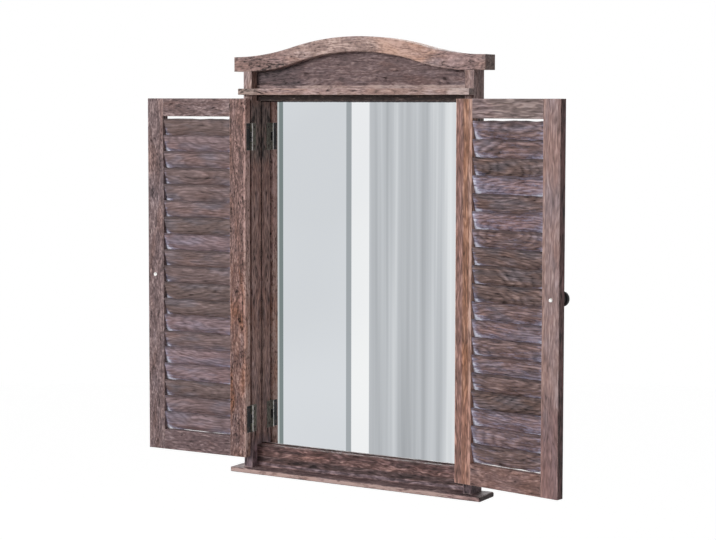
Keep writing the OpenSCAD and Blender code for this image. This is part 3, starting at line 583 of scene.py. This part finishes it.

# ---------------------------------------------------------------------------------------------
# Shutters' frames. Stiles run the full height, rails are tenoned between them. The left shutter
# took more flame than the right; both hinge stiles are blotched orange and pale along the edges,
# partly rubbed wear and partly painted light. The right lock stile's free edge is painted shade.
SWING = {"left": -178.0, "right": 169.5}    # Degrees from shut to the rest pose
LOWER_RAIL = {"ring": 6.5, "sway": 0.9, "stretch": 1.6}
SHUTTER_BOARDS = {
    "left": (
        ("hinge_stile", "#765750", "#A5867D",
         {"contrast": 1.3, "pores": 0.6, "warmth": 0.7, "wear": 1.1, "bands": [
             # Pale hinge edge: partly rubbed wear, partly painted light
             ("Y", 12.0, 22.0, 1.2, 0.3, "#C09A8E", 0.4),
             ("X", 70, 310, 60, 0.0, "#836864", 0.55)]}),
        ("lock_stile", "#735F5F", "#9C8684", {"contrast": 1.25}),
        ("top_rail", "#755F5E", "#9E8886", {"ring": 6.5, "contrast": 1.2, "stretch": 1.4}),
        ("lower_rail", "#6F5A5B", "#9A8382", LOWER_RAIL)),
    "right": (
        ("hinge_stile", "#8E6A5D", "#C49F90",
         {"stretch": 3.6, "sweep": 12.0, "grit": 0.36, "contrast": 1.15, "pores": 0.2,
          "warmth": 0.4, "ash": 0.1, "bands": [
              # Pale bands at both edges: partly rubbed wear, partly painted light
              ("Y", -30, -14.8, 0.8, 0.3, "#C8A090", 0.4),
              ("Y", -12, -4, 4.0, -0.06, "#8E6C68", 0.5),
              ("Y", 1, 7, 4.0, 0.0, "#B4784E", 0.4),
              ("Y", 11.2, 22.0, 1.5, 0.2, "#C8A090", 0.4),
              ("X", -310, -190, 50, 0.0, "#9E7468", 0.6)]}),
        ("lock_stile", "#957C79", "#BBA39F",
         {"contrast": 0.75, "stretch": 3.0, "sweep": 12.0, "grit": 0.5, "pores": 0.12, "bands": [
             # Painted shade: the free edge, which faces away from the lamp, is darkened
             ("Y", 15.3, 30, 0.05, -0.32, "#6B4644", 0.5),
             ("Y", -30, -12, 3.0, 0.05, "#B08878", 0.4),
             ("X", -310, -190, 50, -0.13, "#7E5C5C", 0.4)]}),
        ("top_rail", "#7D6968", "#AA9593",
         {"ring": 5.0, "figure": 0.4, "grit": 0.3, "stretch": 4.5, "sweep": 9.0, "pores": 0.15,
          "bands": [("X", -50, 20, 20, 0.0, "#8A8076", 0.25)]}),
        ("lower_rail", "#80625C", "#AC8C84", LOWER_RAIL))}
for side, seed in (("left", 52.0), ("right", 75.0)):
    for number, (piece, body, pale, look) in enumerate(SHUTTER_BOARDS[side]):
        node = side + "_" + piece
        grain = -90 if piece.endswith("stile") else 0
        finish(node, torched_paulownia(
            node + "_torched_paulownia", middle(node), (90, grain, SWING[side]), body, pale,
            seed + 4.0 * number, **look))

# ---------------------------------------------------------------------------------------------
# Louvre slats. Nineteen thin slats lean in housings in the stiles. Each is a little bowed, twisted
# and uneven along its edges, and the wash dried pale in the corners and along the lower edges.
SLAT_COUNT = 19
SLAT_TILT = 15.5      # Degrees from upright
SLAT_PITCH = 27.09    # Sizes in mm from here on
SLAT_W = 31.0
SLAT_T = 5.0
SLAT_ROUND = 2.0      # Radius of its long edges
SIGHT_HALF = 64.7     # Half of the slat's length that shows between the stiles
HOUSING = 4.0         # How deep its ends stand in the stiles
HELD = 10.0           # How far from an end the housing keeps it from bowing in full
BOW = 0.7
TWIST = 1.3           # Degrees at the ends
EDGE_WAVE = 1.6
DISH = 0.5
STEPS = 30            # Stretches that a slat's mesh has along it
SLAT_LOOKS = {
    "left": {"body": "#7A6664", "pale": "#9E8887", "seed": 68.0, "figure": 0.19, "grit": 0.38,
             "contrast": 0.95, "pores": 0.2},
    "right": {"body": "#735C58", "pale": "#9E847F", "seed": 91.0, "figure": 0.27, "grit": 0.42,
              "contrast": 1.15, "pores": 0.3}}
WASH = {"left": -0.5, "right": -0.16}       # More of the wash stayed on the right shutter

length = 2 * (SIGHT_HALF + HOUSING)
section = []
for y_side, z_side, start in ((1, 1, 0), (-1, 1, 90), (-1, -1, 180), (1, -1, 270)):
    for a in (start, start + 30, start + 60, start + 90):
        section.append((y_side * (SLAT_W / 2 - SLAT_ROUND) + SLAT_ROUND * math.cos(math.radians(a)),
                        z_side * (SLAT_T / 2 - SLAT_ROUND) + SLAT_ROUND * math.sin(math.radians(a))))
count = len(section)
random.seed(7)
for side in ("left", "right"):
    node = side + "_slats"
    centre = middle(node)
    swing = Matrix.Rotation(math.radians(SWING[side]), 3, "Z")
    lean = Matrix.Rotation(math.radians(90 - SLAT_TILT), 3, "X")
    verts, faces = [], []
    for slat in range(SLAT_COUNT):
        level = (slat - SLAT_COUNT // 2) * SLAT_PITCH
        bow = random.uniform(-BOW, BOW)
        twist = random.uniform(-TWIST, TWIST)
        phase = random.uniform(0, 90)
        first = len(verts)
        for i in range(STEPS + 1):
            x = -length / 2 + length * i / STEPS
            free = min(1.0, (length / 2 - abs(x)) / HELD)
            for y, z in section:
                edge = noise.noise((x / 17, y / 40 + phase, slat * 2.3)) * EDGE_WAVE * free
                dish = noise.noise((x / 30, y / 9 + phase, slat * 1.7 + 40)) * DISH * free
                turned = math.radians(twist * x / length * 2) * free
                w = y * (1 + 0.9 * edge / (SLAT_W / 2)) + bow * free
                t = z + dish
                point = Vector((x, w * math.cos(turned) - t * math.sin(turned),
                                w * math.sin(turned) + t * math.cos(turned)))
                point = swing @ (lean @ point + Vector((0, 0, level)))
                verts.append(centre + point * 0.001)
        for i in range(STEPS):
            for k in range(count):
                a, b = first + i * count + k, first + i * count + (k + 1) % count
                faces.append((a, b, b + count, a + count))
        faces.append([first + k for k in reversed(range(count))])
        faces.append([first + STEPS * count + k for k in range(count)])
    mesh = bpy.data.meshes.new(side + "_worn_slats")
    mesh.from_pydata(verts, [], faces)
    mesh.shade_smooth()
    slats = bpy.data.objects.new(side + "_worn_slats", mesh)
    bpy.context.scene.collection.objects.link(slats)

    tilt = math.radians(SLAT_TILT)
    material = torched_paulownia(
        side + "_slats_torched_paulownia", centre, (90 - SLAT_TILT, 0, SWING[side]), ring=4.6,
        heart=(80.0, 30.0, 13.0), taper=0.27, sway=0.6, sweep=10.0, stretch=3.0, ash=0.6, wear=0.5,
        stack=(SLAT_PITCH * math.cos(tilt), SLAT_PITCH * math.sin(tilt)), **SLAT_LOOKS[side])
    tree = material.node_tree
    labelled = {n.label: n for n in tree.nodes if n.label}
    board, layer, chance = labelled["board"], labelled["layer"], labelled["chance"]
    # Each slat came from another board, brown or violet under its soot
    hue = add(tree, "ValToRGB", {"Fac": chance.outputs["Value"]},
              [(0.1, linear("#7C6C63")), (0.9, linear("#776376")), (0.5, linear("#7A6769"))])
    toned = add(tree, "Mix", {"Factor_Float": 0.2, "A_Color": labelled["wood colour"],
                              "B_Color": hue}, data_type="RGBA", blend_type="COLOR")
    # Where on its own slat a point lies: up its face, and off the middle of its length
    rung = labelled["layout"].outputs["Y"]
    run = add(tree, "Math", {0: labelled["layout"].outputs["X"], 1: 3.0}, operation="ADD")
    run = add(tree, "Math", {0: run}, operation="ABSOLUTE")
    # The wash stayed as a fillet in the lower corners, thin up the stile and along the lower edge
    stile = add(tree, "MapRange", {"Value": run, "From Min": SIGHT_HALF - 20,
                                   "From Max": SIGHT_HALF + 0.5})
    foot = add(tree, "MapRange", {"Value": rung, "From Min": 12.0, "From Max": -15.0})
    tail = add(tree, "MapRange", {"Value": run, "From Min": SIGHT_HALF - 62, "From Max": SIGHT_HALF,
                                  "To Min": 0.3, "To Max": 1.2})
    stile = add(tree, "Math", {0: stile, 1: 2.6}, operation="POWER")
    rise = add(tree, "Math", {0: foot, 1: 2.6}, operation="POWER")
    foot = add(tree, "Math", {0: foot, 1: 5.0}, operation="POWER")
    corner = add(tree, "Math", {0: rise, 1: 0.5}, operation="ADD")
    corner = add(tree, "Math", {0: corner, 1: stile}, operation="MULTIPLY")
    fillet = add(tree, "Math", {0: foot, 1: tail, 2: corner}, operation="MULTIPLY_ADD")
    # It ran in drips 26 mm long and dried to a crust of 5 mm flakes, more on some slats
    size = add(tree, "VectorMath", {0: board, 1: (1 / 26, 1 / 3.5, 1 / 3.5)}, operation="MULTIPLY")
    drip = add(tree, "TexNoise", {"Vector": size, "W": layer, "Scale": 1.0, "Detail": 3.0},
               noise_dimensions="4D")
    drip = add(tree, "MapRange", {"Value": drip.outputs["Fac"], "From Min": 0.30, "From Max": 0.70})
    size = add(tree, "VectorMath", {0: board, 1: (1 / 5, 1 / 2.2, 1 / 2.2)}, operation="MULTIPLY")
    crust = add(tree, "TexNoise", {"Vector": size, "W": layer, "Scale": 1.0, "Detail": 2.0},
                noise_dimensions="4D")
    crust = add(tree, "MapRange", {"Value": crust.outputs["Fac"], "From Min": 0.3, "From Max": 0.7})
    spill = add(tree, "Math", {0: chance.outputs["Value"], 1: 0.5, 2: WASH[side]},
                operation="MULTIPLY_ADD")
    pool = add(tree, "Math", {0: fillet, 1: spill}, operation="ADD")
    pool = add(tree, "Math", {0: drip, 1: 0.7, 2: pool}, operation="MULTIPLY_ADD")
    pool = add(tree, "Math", {0: crust, 1: 0.4, 2: pool}, operation="MULTIPLY_ADD")
    pool = add(tree, "MapRange", {"Value": pool, "From Min": 0.78, "From Max": 1.62, "To Max": 0.92})
    chalk = add(tree, "ValToRGB", {"Fac": pool},
                [(0.2, linear("#8F8AA4")), (0.95, linear("#DFDFEC")), (0.65, linear("#B2AEC6"))])
    washed = add(tree, "Mix", {"Factor_Float": pool, "A_Color": toned, "B_Color": chalk},
                 data_type="RGBA")
    # Painted shade: a dark crease at the top of each slat, under the edge of the slat above
    size = add(tree, "VectorMath", {0: board, 1: (1 / 14, 0.0, 0.0)}, operation="MULTIPLY")
    ripple = add(tree, "TexNoise", {"Vector": size, "W": layer, "Scale": 1.0, "Detail": 2.0},
                 noise_dimensions="4D")
    reach = add(tree, "Math", {0: ripple.outputs["Fac"], 1: 5.0, 2: rung}, operation="MULTIPLY_ADD")
    painted_crease_shade = add(tree, "MapRange", {"Value": reach, "From Min": 14.6, "From Max": 15.4,
                                    "To Max": 0.5}, interpolation_type="SMOOTHSTEP")
    washed = add(tree, "Mix", {"Factor_Float": painted_crease_shade, "A_Color": washed,
                               "B_Color": linear("#2A2024")}, data_type="RGBA")
    link(tree, washed, tree.nodes["Principled BSDF"].inputs["Base Color"])
    mesh.materials.append(material)
    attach(slats, side + "_shutter")
    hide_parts(node)

# ---------------------------------------------------------------------------------------------
# Knobs. Turned metal, stoved in black lacquer, each held by a machine screw whose head is on the
# other face of the stile. The lacquer is nearly black and glossy, smeared by fingers in patches
# of 11 mm, with an orange peel of 1.7 mm.
lacquer, tree, shader = start_material("black_stove_lacquer")
spot = add(tree, "TexCoord")
peel = add(tree, "TexNoise", {"Vector": spot.outputs["Object"], "Scale": 600.0, "Detail": 2.0})
smear = add(tree, "TexNoise", {"Vector": spot.outputs["Object"], "Scale": 90.0, "Detail": 3.0})
tint = add(tree, "ValToRGB", {"Fac": smear.outputs["Fac"]},
           [(0.4, linear("#131315")), (0.7, linear("#25252A"))])
link(tree, tint, shader.inputs["Base Color"])
matt = add(tree, "MapRange", {"Value": smear.outputs["Fac"], "To Min": 0.22, "To Max": 0.45})
link(tree, matt, shader.inputs["Roughness"])
bump = add(tree, "Bump", {"Height": peel.outputs["Fac"], "Strength": 0.15, "Distance": 0.0001})
link(tree, bump, shader.inputs["Normal"])

# Polished nickel with scuffs of 0.7 mm. A painted highlight in its near-white colour makes the
# screw's head the brightest spot on a shutter.
nickel_with_painted_glint, tree, shader = start_material("polished_nickel_screw")
spot = add(tree, "TexCoord")
scuff = add(tree, "TexNoise", {"Vector": spot.outputs["Object"], "Scale": 1500.0, "Detail": 2.0})
tint = add(tree, "ValToRGB", {"Fac": scuff.outputs["Fac"]},
           [(0.3, linear("#DCDAD6")), (0.6, linear("#F7F6F4"))])
link(tree, tint, shader.inputs["Base Color"])
matt = add(tree, "MapRange", {"Value": scuff.outputs["Fac"], "To Min": 0.3, "To Max": 0.5})
link(tree, matt, shader.inputs["Roughness"])
shader.inputs["Metallic"].default_value = 0.75
for side in ("left", "right"):
    finish(side + "_knob", lacquer)
    finish(side + "_knob_screw", nickel_with_painted_glint)

# ---------------------------------------------------------------------------------------------
# Hinges. Pressed steel butts under thin black lacquer, rubbed to bare metal along the edges, with
# grime in patches of 4 mm. A pale stripe down each knuckle is a painted highlight, and the frame
# leaves' olive grey a painted sheen. Their screws are blued steel that has gone dull.
# Shutter leaves show the black lacquer; the frame leaves' olive grey is a painted sheen on it
LEAF_LACQUER_AND_SHEEN = {"frame_leaf": ("#4E4B41", "#6E695E"), "shutter_leaf": ("#0C0B0C", "#201E1F")}
KNUCKLE = (0.0031, 0.0029)    # Metres from the pin, outside a knuckle and on it
for side in ("left", "right"):
    inward = 0.99 if side == "left" else -0.99
    for height in ("upper", "lower"):
        pin = side + "_" + height + "_hinge_pin"
        for leaf, (tone_low, tone_high) in LEAF_LACQUER_AND_SHEEN.items():
            node = side + "_" + height + "_" + leaf
            steel, tree, shader = start_material(node + "_black_lacquered_steel")
            spot = add(tree, "TexCoord")
            grime = add(tree, "TexNoise", {"Vector": spot.outputs["Object"], "Scale": 260.0,
                                           "Detail": 4.0})
            flat = add(tree, "NewGeometry")
            rounded = add(tree, "Bevel", {"Radius": 0.0008}, samples=4)
            turned = add(tree, "VectorMath", {0: flat.outputs["Normal"], 1: rounded},
                         operation="DOT_PRODUCT")
            rub = add(tree, "MapRange", {"Value": turned.outputs["Value"], "From Min": 0.98,
                                         "From Max": 0.85, "To Max": 0.5})
            # Painted highlight: a pale bare-metal stripe down each knuckle, on the side to the glass
            painted_knuckle_highlight = add(tree, "VectorMath", {0: spot.outputs["Normal"], 1: (inward, -0.14, 0.0)},
                        operation="DOT_PRODUCT")
            painted_knuckle_highlight = add(tree, "MapRange", {"Value": painted_knuckle_highlight.outputs["Value"],
                                           "From Min": 0.86, "From Max": 0.95})
            reach = add(tree, "VectorMath", {0: spot.outputs["Object"], 1: middle(pin)},
                        operation="SUBTRACT")
            reach = add(tree, "VectorMath", {0: reach, 1: (1.0, 1.0, 0.0)}, operation="MULTIPLY")
            reach = add(tree, "VectorMath", {0: reach}, operation="LENGTH")
            reach = add(tree, "MapRange", {"Value": reach.outputs["Value"],
                                           "From Min": KNUCKLE[0], "From Max": KNUCKLE[1]})
            painted_knuckle_highlight = add(tree, "Math", {0: painted_knuckle_highlight, 1: reach}, operation="MULTIPLY")
            rub = add(tree, "Math", {0: rub, 1: painted_knuckle_highlight}, operation="MAXIMUM")
            worn = add(tree, "MapRange", {"Value": grime.outputs["Fac"],
                                          "From Min": 0.3, "From Max": 0.5})
            rub = add(tree, "Math", {0: rub, 1: worn}, operation="MULTIPLY")
            leaf_tone = add(tree, "ValToRGB", {"Fac": grime.outputs["Fac"]},
                       [(0.4, linear(tone_low)), (0.65, linear(tone_high))])
            tint = add(tree, "Mix", {"Factor_Float": rub, "A_Color": leaf_tone,
                                     "B_Color": linear("#DAD6D2")}, data_type="RGBA")
            link(tree, tint, shader.inputs["Base Color"])
            link(tree, rub, shader.inputs["Metallic"])
            matt = add(tree, "MapRange", {"Value": grime.outputs["Fac"],
                                          "To Min": 0.4, "To Max": 0.65})
            link(tree, matt, shader.inputs["Roughness"])
            shader.inputs["Specular IOR Level"].default_value = 0.3
            finish(node, steel)
        finish(pin, zinc)
    finish(side + "_frame_leaf_screws", pin_steel)
    finish(side + "_shutter_leaf_screws", pin_steel)

size = {"cad": [list(corner) for corner in cad_box], "visual": [list(corner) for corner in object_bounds()]}
